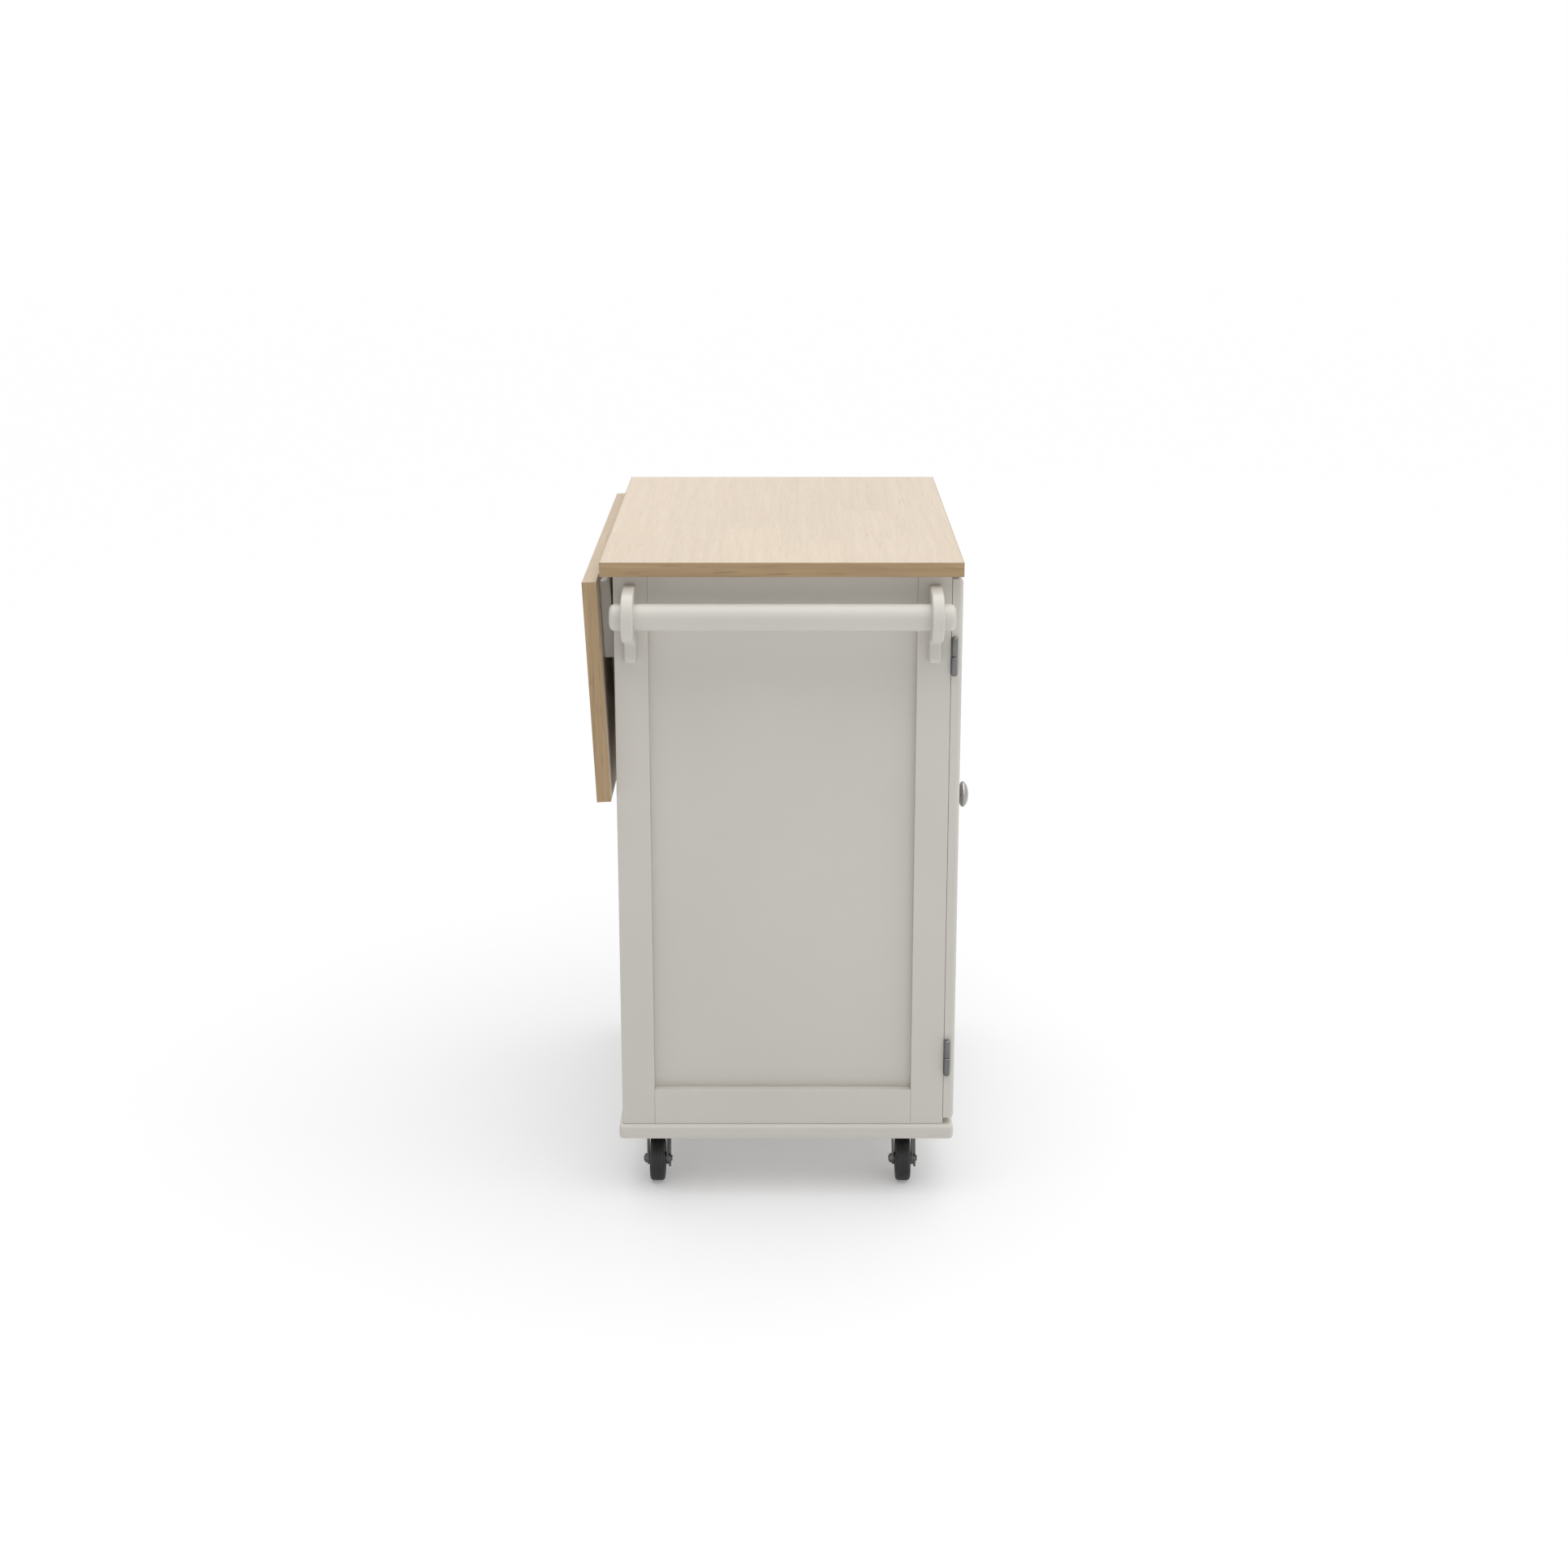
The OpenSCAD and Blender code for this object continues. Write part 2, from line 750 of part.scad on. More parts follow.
module caster_fork(end, y) {
    outer = leg_gap + leg_thickness;
    color("dimgray")
        at_caster(end, y) {
            difference() {
                intersection() {
                    translate([0, 0, crown_top - crown_thickness])
                        cylinder(h = crown_thickness, r = fork_radius);
                    block([-fork_radius, -leg_gap - 0.01, 0], [fork_radius, leg_gap + 0.01, crown_top]);
                }
                translate([0, 0, crown_top - crown_thickness - 1])
                    cylinder(h = crown_thickness + 2, r = kingpin_radius + running_clearance);
            }
            fork_leg(-outer, -leg_gap);
            fork_leg(leg_gap, outer);
            y_rod(-outer - 5.5, outer + 5, [-caster_trail, axle_z], axle_radius);
            y_rod(outer, outer + 3.5, [-caster_trail, axle_z], 6.5, $fn = 6);
        }
}

// A solid wheel with rounded shoulders and a hub, around its axle's bore
module caster_wheel(end, y) {
    r = wheel_diameter / 2;
    half = wheel_width / 2;
    shoulder = 4;
    hub = half + 1.5;
    bore = axle_radius + running_clearance;
    arc = [for (a = [0:15:90]) [r - shoulder + shoulder * cos(a), half - shoulder + shoulder * sin(a)]];
    under = [for (a = [90:-15:0]) [r - shoulder + shoulder * cos(a), -half + shoulder - shoulder * sin(a)]];
    web = r * 0.66;
    color("black")
        at_caster(end, y)
            translate([-caster_trail, 0, axle_z]) rotate([90, 0, 0])
                rotate_extrude()
                    polygon(concat([[bore, -hub], [9, -hub], [9, -half + 3], [web, -half + 3],
                                    [web + 2, -half]],
                                   under, arc,
                                   [[web + 2, half], [web, half - 3], [9, half - 3], [9, hub],
                                    [bore, hub]]));
}

// The brake pedal beside the fork: it turns on the end of the axle, with a tail below
// and a foot pad above
module caster_brake(end, y) {
    outer = leg_gap + leg_thickness;
    y0 = -outer - 3.5;
    y1 = -outer - 0.5;
    axle = [-caster_trail, axle_z];
    arm = [14, 34];
    tail = [-2, -8];
    color("gray")
        at_caster(end, y)
            difference() {
                union() {
                    y_rod(y0, y1, axle, 8);
                    y_rod(y0, y1, axle + tail, 4);
                    y_rod(y0, y1, axle + arm, 6);
                    translate([axle[0], y1, axle[1]]) rotate([90, 0, 0])
                        linear_extrude(height = y1 - y0)
                            polygon([[-5, 0], arm + [-6, 0], arm + [6, 0], [7, 0],
                                     tail + [4, 0], tail - [4, 0]]);
                    block([axle[0] + arm[0] - 6, y0 - 8, axle[1] + arm[1] - 1],
                          [axle[0] + arm[0] + 6, y0 + 1, axle[1] + arm[1] + 2]);
                }
                y_rod(y0 - 1, y1 + 1, axle, axle_radius + running_clearance);
            }
}

// ---- One line per node ----

module shown(name) {
    centred_on_origin() children();
}

shown("tabletop") tabletop();
shown("base_board") base_board();
shown("left_stiles") side_stiles(-1);
shown("left_rails") side_rails(-1);
shown("left_panel") side_panel(-1);
shown("right_stiles") side_stiles(1);
shown("right_rails") side_rails(1);
shown("right_panel") side_panel(1);
shown("front_rails") front_rails();
shown("front_centre_stile") front_centre_stile();
shown("partition") partition();
shown("back_rails") back_rails();
shown("back_panel") back_panel();
shown("shelf") shelf();
shown("shelf_pins") shelf_pins();
shown("towel_bracket_front") towel_bracket(-1);
shown("towel_bracket_back") towel_bracket(1);
shown("towel_bar") towel_bar();
shown("door_hinge_fixed_leaves") door_hinge_fixed_leaves();
shown("door_hinge_pins") door_hinge_pins();
shown("magnetic_catch") magnetic_catch();
shown("leaf_hinge_fixed_plates") leaf_hinge_fixed_plates();
shown("leaf_hinge_pins") leaf_hinge_pins();
shown("stay_brackets") stay_brackets();
shown("drawer_runners") drawer_runners();
shown("caster_plates") caster_plates();
shown("drop_leaf") drop_leaf();
shown("leaf_battens") leaf_battens();
shown("leaf_hinge_moving_plates") leaf_hinge_moving_plates();
shown("stay_channels") stay_channels();
shown("stay_brace_left") stay_brace(-1);
shown("stay_brace_right") stay_brace(1);
shown("door_stiles") door_stiles();
shown("door_rails") door_rails();
shown("door_panel") door_panel();
shown("door_hinge_moving_leaves") door_hinge_moving_leaves();
shown("door_knob") door_knob();
shown("catch_strike") catch_strike();
for (i = [1:drawer_count]) {
    shown(str("drawer_front_", i)) drawer_front(i);
    shown(str("drawer_box_", i)) drawer_box(i);
    shown(str("drawer_knob_", i)) drawer_knob(i);
}
shown("caster_fork_left_front") caster_fork(-1, caster_front_y);
shown("caster_fork_left_back") caster_fork(-1, caster_back_y);
shown("caster_fork_right_front") caster_fork(1, caster_front_y);
shown("caster_fork_right_back") caster_fork(1, caster_back_y);
shown("caster_wheel_left_front") caster_wheel(-1, caster_front_y);
shown("caster_wheel_left_back") caster_wheel(-1, caster_back_y);
shown("caster_wheel_right_front") caster_wheel(1, caster_front_y);
shown("caster_wheel_right_back") caster_wheel(1, caster_back_y);
shown("caster_brake_left_front") caster_brake(-1, caster_front_y);
shown("caster_brake_left_back") caster_brake(-1, caster_back_y);
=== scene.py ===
# %% [markdown]
# This butcher block table is a small kitchen cabinet on casters, with a wooden top and a
# leaf that hangs at its back.
# The CAD model already fixes every size and every moving part. This script gives it its
# looks: it loads that model, replaces the plain boxes with pieces whose edges are rounded
# as a joiner would round them, and makes each finish from nodes.

# %% Load the frame
import json
import math
import random

import bmesh
import bpy
from mathutils import Matrix, Vector


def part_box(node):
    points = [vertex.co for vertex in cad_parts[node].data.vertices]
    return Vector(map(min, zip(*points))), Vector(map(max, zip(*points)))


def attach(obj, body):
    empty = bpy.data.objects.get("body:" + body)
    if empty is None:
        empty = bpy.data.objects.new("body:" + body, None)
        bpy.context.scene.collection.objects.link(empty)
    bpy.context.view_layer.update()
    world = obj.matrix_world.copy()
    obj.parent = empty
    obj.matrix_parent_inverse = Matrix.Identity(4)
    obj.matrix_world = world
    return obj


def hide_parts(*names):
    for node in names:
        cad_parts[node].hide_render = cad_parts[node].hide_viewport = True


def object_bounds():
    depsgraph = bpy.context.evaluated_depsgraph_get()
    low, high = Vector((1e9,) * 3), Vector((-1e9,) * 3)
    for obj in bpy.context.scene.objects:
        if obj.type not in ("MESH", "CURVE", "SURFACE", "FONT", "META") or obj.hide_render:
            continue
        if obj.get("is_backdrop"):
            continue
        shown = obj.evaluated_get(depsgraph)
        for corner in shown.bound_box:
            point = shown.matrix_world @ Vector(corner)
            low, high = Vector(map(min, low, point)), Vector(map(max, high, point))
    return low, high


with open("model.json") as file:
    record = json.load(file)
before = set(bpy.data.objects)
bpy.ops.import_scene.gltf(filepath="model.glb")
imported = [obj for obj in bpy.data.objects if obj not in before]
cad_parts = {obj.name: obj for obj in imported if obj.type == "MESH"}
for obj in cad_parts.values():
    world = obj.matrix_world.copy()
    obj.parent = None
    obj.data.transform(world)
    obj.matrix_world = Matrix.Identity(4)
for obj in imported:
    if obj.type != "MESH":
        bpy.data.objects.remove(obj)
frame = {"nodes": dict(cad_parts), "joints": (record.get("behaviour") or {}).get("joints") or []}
joints = {joint["name"]: joint for joint in frame["joints"]}
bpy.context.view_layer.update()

# %% [markdown]
# Sizes come from the CAD nodes, so that a change of size there moves everything here.
# The leaf hangs, but boards are easier to lay out level. `swing` is the turn about the
# leaf's hinge that takes a piece from level to hanging.

# %% Places that many pieces share
MM = 0.001
UP = Vector((0, 0, 1))
top_low, top_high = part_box("tabletop")
leaf_hinge = joints["leaf_hinge"]
leaf_pivot = Vector(leaf_hinge["pos_m"])
leaf_drop = math.radians(leaf_hinge["range_deg"][1])
swing = (
    Matrix.Translation(leaf_pivot)
    @ Matrix.Rotation(-leaf_drop, 4, "X")
    @ Matrix.Translation(-leaf_pivot)
)
print("the leaf hangs", round(math.degrees(leaf_drop), 2), "degrees below level")

# %% [markdown]
# ## Finishes
# Every finish is a Principled shader fed by noise. A finish needs three scales of detail:
# broad tone, the pattern itself, and a fine bump that breaks up the highlights.
# `Recipe` keeps the wiring short: each call adds one node and returns its output.


# %% A short way to wire nodes
class Recipe:
    def __init__(self, name, roughness, metallic=0.0):
        self.material = bpy.data.materials.new(name)
        self.material.use_nodes = True
        self.tree = self.material.node_tree
        self.shader = self.tree.nodes["Principled BSDF"]
        self.shader.inputs["Roughness"].default_value = roughness
        self.shader.inputs["Metallic"].default_value = metallic

    def node(self, kind, **inputs):
        made = self.tree.nodes.new(kind)
        for key, value in inputs.items():
            self.feed(made.inputs[key.replace("_", " ")], value)
        return made

    def feed(self, socket, value):
        if isinstance(value, bpy.types.NodeSocket):
            self.tree.links.new(value, socket)
        else:
            socket.default_value = value

    def place(self, scale=(1, 1, 1), turn=(0, 0, 0), start=None):
        source = start or self.node("ShaderNodeTexCoord").outputs["Object"]
        return self.node("ShaderNodeMapping", Vector=source, Scale=scale, Rotation=turn).outputs[0]

    def noise(self, where, scale, detail=4.0, roughness=0.55, distortion=0.0):
        made = self.node("ShaderNodeTexNoise", Vector=where, Scale=scale, Detail=detail,
                         Roughness=roughness, Distortion=distortion)
        return made.outputs["Fac"]

    def ramp(self, value, *stops):
        made = self.node("ShaderNodeValToRGB", Fac=value)
        for stop, (at, colour) in zip(self.stops(made, len(stops)), stops):
            stop.position = at
            stop.color = (*colour, 1)
        return made.outputs["Color"]

    def stops(self, made, count):
        ramp = made.color_ramp
        while len(ramp.elements) < count:
            ramp.elements.new(0.5)
        return ramp.elements

    def math(self, operation, first, second):
        made = self.node("ShaderNodeMath")
        made.operation = operation
        self.feed(made.inputs[0], first)
        self.feed(made.inputs[1], second)
        return made.outputs[0]

    def mix(self, amount, first, second, blend="MIX"):
        made = self.node("ShaderNodeMix")
        made.data_type = "RGBA"
        made.blend_type = blend
        self.feed(made.inputs[0], amount)
        self.feed(made.inputs[6], first)
        self.feed(made.inputs[7], second)
        return made.outputs[2]

    def bump(self, height, strength, distance):
        made = self.node("ShaderNodeBump", Height=height, Strength=strength, Distance=distance)
        self.feed(self.shader.inputs["Normal"], made.outputs[0])

    def colour(self, value):
        self.feed(self.shader.inputs["Base Color"], value)

    def rough(self, value, low, high):
        spread = self.node("ShaderNodeMapRange", Value=value, To_Min=low, To_Max=high)
        self.feed(self.shader.inputs["Roughness"], spread.outputs[0])


print("Recipe wires a finish one node at a time")

# %% [markdown]
# ### Oak
# The top is glued up from wide oak boards with a clear oil. Grain is noise stretched along
# the board: broad waves give the cathedral figure, narrow streaks the grain, and very
# narrow ones the open pores. Each board carries its own `board` number, which shifts the
# noise so that the grain stops at every glue line, and changes the tone a little.


# %% The oak finish
# Painted light in the oak tones: the boards get a paler tone and the bands a darker one than a single
# oak would have. The paler tone is painted sheen on the top, the darker one painted shade on the
# upright edges. The side bands take the mean of the two.
LIT_BOARD_TONES = ((0.675, 0.567, 0.448), (0.612, 0.50, 0.38), (0.43, 0.32, 0.22))
SHADED_BAND_TONES = ((0.46, 0.325, 0.18), (0.365, 0.245, 0.125), (0.22, 0.14, 0.07))
HALF_SHADED_SIDE_TONES = [[(a + b) / 2 for a, b in zip(*pair)] for pair in zip(LIT_BOARD_TONES, SHADED_BAND_TONES)]


def oak(name, turn, tones, strength=0.5):
    pale, warm, dark = tones
    recipe = Recipe(name, 0.42)
    board = recipe.node("ShaderNodeAttribute")
    board.attribute_name = "board"
    number = board.outputs["Fac"]
    jump = recipe.node("ShaderNodeCombineXYZ", X=recipe.math("MULTIPLY", number, 37.0),
                       Y=recipe.math("MULTIPLY", number, 11.0), Z=recipe.math("MULTIPLY", number, 5.0))
    turned = recipe.place(turn=turn)
    shifted = recipe.node("ShaderNodeVectorMath")
    recipe.feed(shifted.inputs[0], turned)
    recipe.feed(shifted.inputs[1], jump.outputs[0])
    along = shifted.outputs[0]
    figure = recipe.noise(recipe.place((2.2, 15, 15), start=along), 1.0, 3.0, 0.5, 0.6)
    rings = recipe.math("FRACT", recipe.math("MULTIPLY", figure, 9.0), 0.0)
    streaks = recipe.noise(recipe.place((4, 130, 130), start=along), 1.0, 6.0, 0.65)
    pores = recipe.noise(recipe.place((16, 460, 460), start=along), 1.0, 3.0, 0.7)
    base = recipe.ramp(streaks, (0.32, warm), (0.62, pale))
    ringed = recipe.mix(recipe.ramp(rings, (0.0, (0, 0, 0)), (0.86, (0.34,) * 3), (1.0, (0, 0, 0))),
                        base, (*warm, 1))
    pored = recipe.mix(recipe.ramp(pores, (0.58, (0, 0, 0)), (0.72, (strength,) * 3)),
                       ringed, (*dark, 1))
    tone = recipe.node("ShaderNodeMapRange", Value=number, To_Min=0.965, To_Max=1.03)
    recipe.colour(recipe.mix(1.0, pored, tone.outputs[0], "MULTIPLY"))
    recipe.rough(streaks, 0.36, 0.52)
    recipe.bump(recipe.math("SUBTRACT", streaks, pores), 0.12, 0.0004)
    return recipe.material


ALONG_X = (0, 0, 0)
ALONG_Y = (0, 0, math.radians(90))
ALONG_Z = (0, math.radians(90), 0)
lit_oak_boards = oak("oak_boards_painted_sheen", ALONG_X, LIT_BOARD_TONES)
half_shaded_oak_sides = oak("oak_side_bands", ALONG_X, HALF_SHADED_SIDE_TONES, 0.7)
shaded_oak_ends = oak("oak_end_bands", ALONG_Y, SHADED_BAND_TONES, 0.85)
shaded_oak_leaf_ends = oak("oak_leaf_end_bands", ALONG_Z, SHADED_BAND_TONES, 0.85)
# The four oak finishes differ in grain direction and in painted light: painted sheen on the boards,
# painted shade on the bands.
print("oak is cut four ways, by the direction and the tone of its grain")

# %% [markdown]
# ### Paint
# The cabinet is sprayed with a warm off-white satin paint. Spray leaves an orange peel a
# millimetre or two across, seen only as a soft break-up of the highlights, and the tone
# drifts very slightly from piece to piece.


# %% The painted finish
def paint(name, colour, roughness):
    recipe = Recipe(name, roughness)
    where = recipe.place()
    drift = recipe.noise(where, 3.0, 2.0)
    peel = recipe.noise(where, 520.0, 2.0, 0.5)
    darker = tuple(0.965 * c for c in colour)
    recipe.colour(recipe.ramp(drift, (0.35, darker), (0.65, colour)))
    recipe.rough(recipe.noise(where, 60.0, 3.0), roughness - 0.05, roughness + 0.06)
    recipe.bump(peel, 0.05, 0.0003)
    return recipe.material


white_paint = paint("warm_white_paint", (0.638, 0.614, 0.563), 0.40)
inside_paint = paint("cabinet_inside_paint", (0.70, 0.68, 0.63), 0.52)
white_plastic = paint("white_moulded_plastic", (0.78, 0.78, 0.76), 0.45)
print("paint has a slow drift of tone and a fine orange peel")

# %% [markdown]
# ### Metals and rubber
# The knobs are satin nickel, the hinges and slides are dull plated steel, and the casters
# are dark zinc-plated steel around rubber wheels. These finishes differ only in colour,
# bump and roughness, so one function makes all of them.


# %% The metal and rubber finishes
def metal(name, colour, low, high, metallic=1.0, grain=(1, 1, 1), size=700.0, depth=0.06):
    recipe = Recipe(name, low, metallic)
    where = recipe.place(grain)
    brushed = recipe.noise(where, size, 3.0, 0.6)
    cloudy = recipe.noise(recipe.place(), 45.0, 3.0)
    darker = tuple(0.82 * c for c in colour)
    recipe.colour(recipe.ramp(cloudy, (0.35, darker), (0.65, colour)))
    recipe.rough(brushed, low, high)
    recipe.bump(brushed, depth, 0.0002)
    return recipe.material


nickel = metal("satin_nickel", (0.37, 0.36, 0.345), 0.20, 0.34, grain=(1, 5, 1), size=420.0)
plated = metal("dull_plated_steel", (0.19, 0.19, 0.187), 0.30, 0.46, grain=(1, 1, 6))
zinc = metal("dark_zinc_plate", (0.13, 0.13, 0.132), 0.30, 0.44, 0.85, size=300.0)
rubber = metal("black_rubber", (0.012, 0.012, 0.012), 0.48, 0.64, 0.0, size=900.0, depth=0.15)
hub_plastic = metal("wheel_hub_plastic", (0.028, 0.028, 0.030), 0.38, 0.50, 0.0, size=500.0)
# The near-black screw finish is painted shade: it stands for the shade inside a cross recess that is
# not cut.
painted_recess_shade = metal("screw_recess_painted_shade", (0.02, 0.02, 0.02), 0.6, 0.7, 0.0)
print("six metal, rubber and plastic finishes share one recipe")

# %% [markdown]
# ### Drawer wood
# Drawer boxes are plain lacquered wood, paler and finer than oak. The grain runs along
# each board. Nobody polishes the inside of a drawer, so it is less glossy.


# %% The drawer box finish
def box_wood(name):
    recipe = Recipe(name, 0.55)
    # The sides and the bottom run front to back. The boards that face the front run across.
    facing = recipe.node("ShaderNodeSeparateXYZ")
    recipe.feed(facing.inputs[0], recipe.node("ShaderNodeTexCoord").outputs["Normal"])
    crosswise = recipe.math("GREATER_THAN", recipe.math("ABSOLUTE", facing.outputs[1], 0.0), 0.7)
    fibres = recipe.mix(crosswise, recipe.place((90, 3, 90)), recipe.place((3, 90, 90)))
    clouds = recipe.mix(crosswise, recipe.place((9, 1.2, 9)), recipe.place((1.2, 9, 9)))
    fine = recipe.noise(fibres, 1.0, 5.0, 0.6)
    broad = recipe.noise(clouds, 1.0, 2.0, 0.5, 0.8)
    grain = recipe.math("ADD", recipe.math("MULTIPLY", fine, 0.6), recipe.math("MULTIPLY", broad, 0.4))
    recipe.colour(recipe.ramp(grain, (0.38, (0.52, 0.385, 0.235)), (0.60, (0.70, 0.56, 0.38))))
    recipe.rough(fine, 0.46, 0.62)
    recipe.bump(fine, 0.08, 0.0003)
    return recipe.material


drawer_wood = box_wood("lacquered_drawer_wood")
print("drawer boxes get a paler, finer wood")

# %% [markdown]
# ## Helpers for shapes
# A CAD solid arrives as loose triangles. `joiner_copy` merges them back to flat faces, so
# that its real edges can be bevelled. Every finished piece goes through `keep`, which
# shades it, gives it its finish and parents it to an empty named after the body that it
# moves with. `soften` does both for a node that needs no new shape.


# %% Merge, bevel and keep
SHARP = math.radians(35)
FLAT = math.radians(1)
WELD = 0.002 * MM
ON_FACE = 0.01 * MM


def joiner_copy(node):
    shape = bmesh.new()
    shape.from_mesh(frame["nodes"][node].data)
    bmesh.ops.remove_doubles(shape, verts=shape.verts, dist=WELD)
    bmesh.ops.dissolve_limit(shape, angle_limit=FLAT, verts=shape.verts, edges=shape.edges)
    return shape


def sharp_edges(shape):
    return [e for e in shape.edges if e.is_manifold and e.calc_face_angle(0) > SHARP]


def round_over(shape, edges, radius, segments=2):
    bmesh.ops.bevel(shape, geom=edges, offset=radius, offset_type="OFFSET", segments=segments,
                    profile=0.5, affect="EDGES", clamp_overlap=True, material=-1)


def keep(shape, name, body, finishes, stands_for=()):
    mesh = bpy.data.meshes.new(name)
    shape.to_mesh(mesh)
    shape.free()
    for finish in finishes if isinstance(finishes, (list, tuple)) else [finishes]:
        mesh.materials.append(finish)
    mesh.shade_smooth()
    mesh.set_sharp_from_angle(angle=SHARP)
    piece = bpy.data.objects.new(name, mesh)
    bpy.context.scene.collection.objects.link(piece)
    weighted = piece.modifiers.new("even_shading", "WEIGHTED_NORMAL")
    weighted.keep_sharp = True
    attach(piece, body)
    if stands_for:
        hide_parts(*stands_for)


def soften(node, body, finish, radius=0.8 * MM, wide=(), segments=2, deeper=0.0):
    """A copy of a CAD node with rounded edges. wide is a list of (test, radius): the edges
    that a test picks get that radius first. deeper moves the back face out by that much."""
    shape = joiner_copy(node)
    if deeper:
        back = max(v.co.y for v in shape.verts) - ON_FACE
        behind = [v for v in shape.verts if v.co.y > back]
        bmesh.ops.translate(shape, verts=behind, vec=(0, deeper, 0))
    for test, wide_radius in wide:
        picked = [e for e in sharp_edges(shape) if test(*(v.co for v in e.verts))]
        round_over(shape, picked, wide_radius, 5)
    rest = [e for e in sharp_edges(shape) if e.calc_length() > 2.5 * radius]
    round_over(shape, rest, radius, segments)
    return keep(shape, "soft_" + node, body, finish, (node,))


print("joiner_copy, round_over, keep and soften are ready")

# %% [markdown]
# Round pieces are turned on a lathe: a half outline is spun about the Z axis, and `stand`
# then puts it in place. `arc` gives the round stretches of an outline, `add_box` the square
# parts, and `join` adds one part to another.


# %% The lathe
def arc(centre_r, centre_h, radius, start, end, count=6):
    angles = [math.radians(start + (end - start) * i / count) for i in range(count + 1)]
    return [(centre_r + radius * math.cos(a), centre_h + radius * math.sin(a)) for a in angles]


def lathe(outline, steps=48):
    shape = bmesh.new()
    verts = [shape.verts.new((r, 0, h)) for r, h in outline]
    edges = [shape.edges.new(pair) for pair in zip(verts, verts[1:])]
    bmesh.ops.spin(shape, geom=verts + edges, cent=(0, 0, 0), axis=UP, angle=math.tau,
                   steps=steps, use_merge=True)
    bmesh.ops.remove_doubles(shape, verts=shape.verts, dist=WELD)
    bmesh.ops.recalc_face_normals(shape, faces=shape.faces)
    return shape


def stand(shape, where, direction):
    turn = Vector(direction).to_track_quat("Z", "Y").to_matrix().to_4x4()
    shape.transform(Matrix.Translation(Vector(where)) @ turn)
    return shape


def add_box(shape, low, high):
    low, high = Vector(low), Vector(high)
    place = Matrix.Translation((low + high) / 2) @ Matrix.Diagonal((*(high - low), 1))
    return bmesh.ops.create_cube(shape, size=1.0, matrix=place)["verts"]


def join(part, shape):
    """Add a finished part to a shape, and free the part."""
    spare = bpy.data.meshes.new("spare")
    part.to_mesh(spare)
    part.free()
    shape.from_mesh(spare)
    bpy.data.meshes.remove(spare)


print("a lathe outline is a list of (radius, height) pairs")

# %% [markdown]
# ## The butcher block
# The top is six boards wide. In each row the boards are butted end to end, and the joints
# are staggered from row to row so that no two weak points lie side by side. Each board is
# its own closed box with a hair-fine bevel, so the glue lines catch the light. A thin oak
# band covers every edge of the block, as on a bought worktop.

# %% Lay the boards
ROWS = 6
BAND = 1.2 * MM
BOARD_EASE = 0.15 * MM
EDGE_EASE = 0.5 * MM
JOINT_RANGE = (0.22, 0.78)


def add_board(shape, low, high, number, picks, radius, segments):
    """A box that carries its board number, with the edges that picks accepts rounded."""
    board = shape.verts.layers.float["board"]
    before = set(shape.verts)
    add_box(shape, low, high)
    fresh = [v for v in shape.verts if v not in before]
    edges = {e for v in fresh for e in v.link_edges if picks(e)}
    round_over(shape, list(edges), radius, segments)
    for v in shape.verts:
        if v not in before:
            v[board] = number


def lay_boards(low, high, seed):
    dice = random.Random(seed)
    shape = bmesh.new()
    shape.verts.layers.float.new("board")
    length = high.x - low.x
    row_width = (high.y - low.y) / ROWS
    for row in range(ROWS):
        joint = length * dice.uniform(*JOINT_RANGE)
        ends = [0.0, joint, length]
        for start, end in zip(ends, ends[1:]):
            corner = Vector((low.x + start, low.y + row * row_width, low.z))
            far = Vector((low.x + end, corner.y + row_width, high.z))
            add_board(shape, corner, far, dice.random(), lambda edge: True, BOARD_EASE, 1)
    return shape


def edge_bands(low, high, axis, seed):
    """The bands at both ends of one axis: 0 for the ends of the boards, 1 for their sides."""
    dice = random.Random(seed)
    shape = bmesh.new()
    shape.verts.layers.float.new("board")
    for side in (low, high):
        near, far = low.copy(), high.copy()
        inward = BAND if side is low else -BAND
        near[axis], far[axis] = sorted((side[axis], side[axis] + inward))

        def outer(edge):
            return all(abs(v.co[axis] - side[axis]) < ON_FACE for v in edge.verts)

        add_board(shape, near, far, dice.random(), outer, EDGE_EASE, 3)
    return shape


def block(prefix, low, high, body, node, shaded_end_finish, turn=None, seed=3):
    inset = Vector((BAND, BAND, 0))
    boards = lay_boards(low + inset, high - inset, seed)
    sides = edge_bands(low + Vector((BAND, 0, 0)), high - Vector((BAND, 0, 0)), 1, seed + 1)
    ends = edge_bands(low, high, 0, seed + 2)
    # The boards get the oak with painted sheen, the bands the oak with painted shade.
    for shape, part, finish in ((boards, "boards", lit_oak_boards), (sides, "side_bands", half_shaded_oak_sides),
                                (ends, "end_bands", shaded_end_finish)):
        if turn:
            shape.transform(turn)
        stands_for = (node,) if part == "boards" else ()
        keep(shape, f"{prefix}_{part}", body, finish, stands_for)


block("top", top_low, top_high, "cabinet", "tabletop", shaded_oak_ends)
row_mm = round((top_high.y - top_low.y) / ROWS / MM)
print("the top has", ROWS, "rows of boards, each", row_mm, "mm wide")

# %% [markdown]
# The leaf is made the same way, drawn level and then swung down. Its level box is found
# by turning the hanging CAD leaf back up.

# %% The drop leaf
raised = [swing.inverted() @ v.co for v in frame["nodes"]["drop_leaf"].data.vertices]
leaf_low = Vector([min(p[i] for p in raised) for i in range(3)])
leaf_high = Vector([max(p[i] for p in raised) for i in range(3)])
block("leaf", leaf_low, leaf_high, "leaf", "drop_leaf", shaded_oak_leaf_ends, swing, seed=8)
print("leaf, level:", [round(c / MM, 1) for c in (leaf_high - leaf_low)], "mm")

# %% [markdown]
# ## The cabinet
# Painted stiles and rails are boxes with edges eased by a little under a millimetre, and
# panels are eased even less, because they sit in a frame.

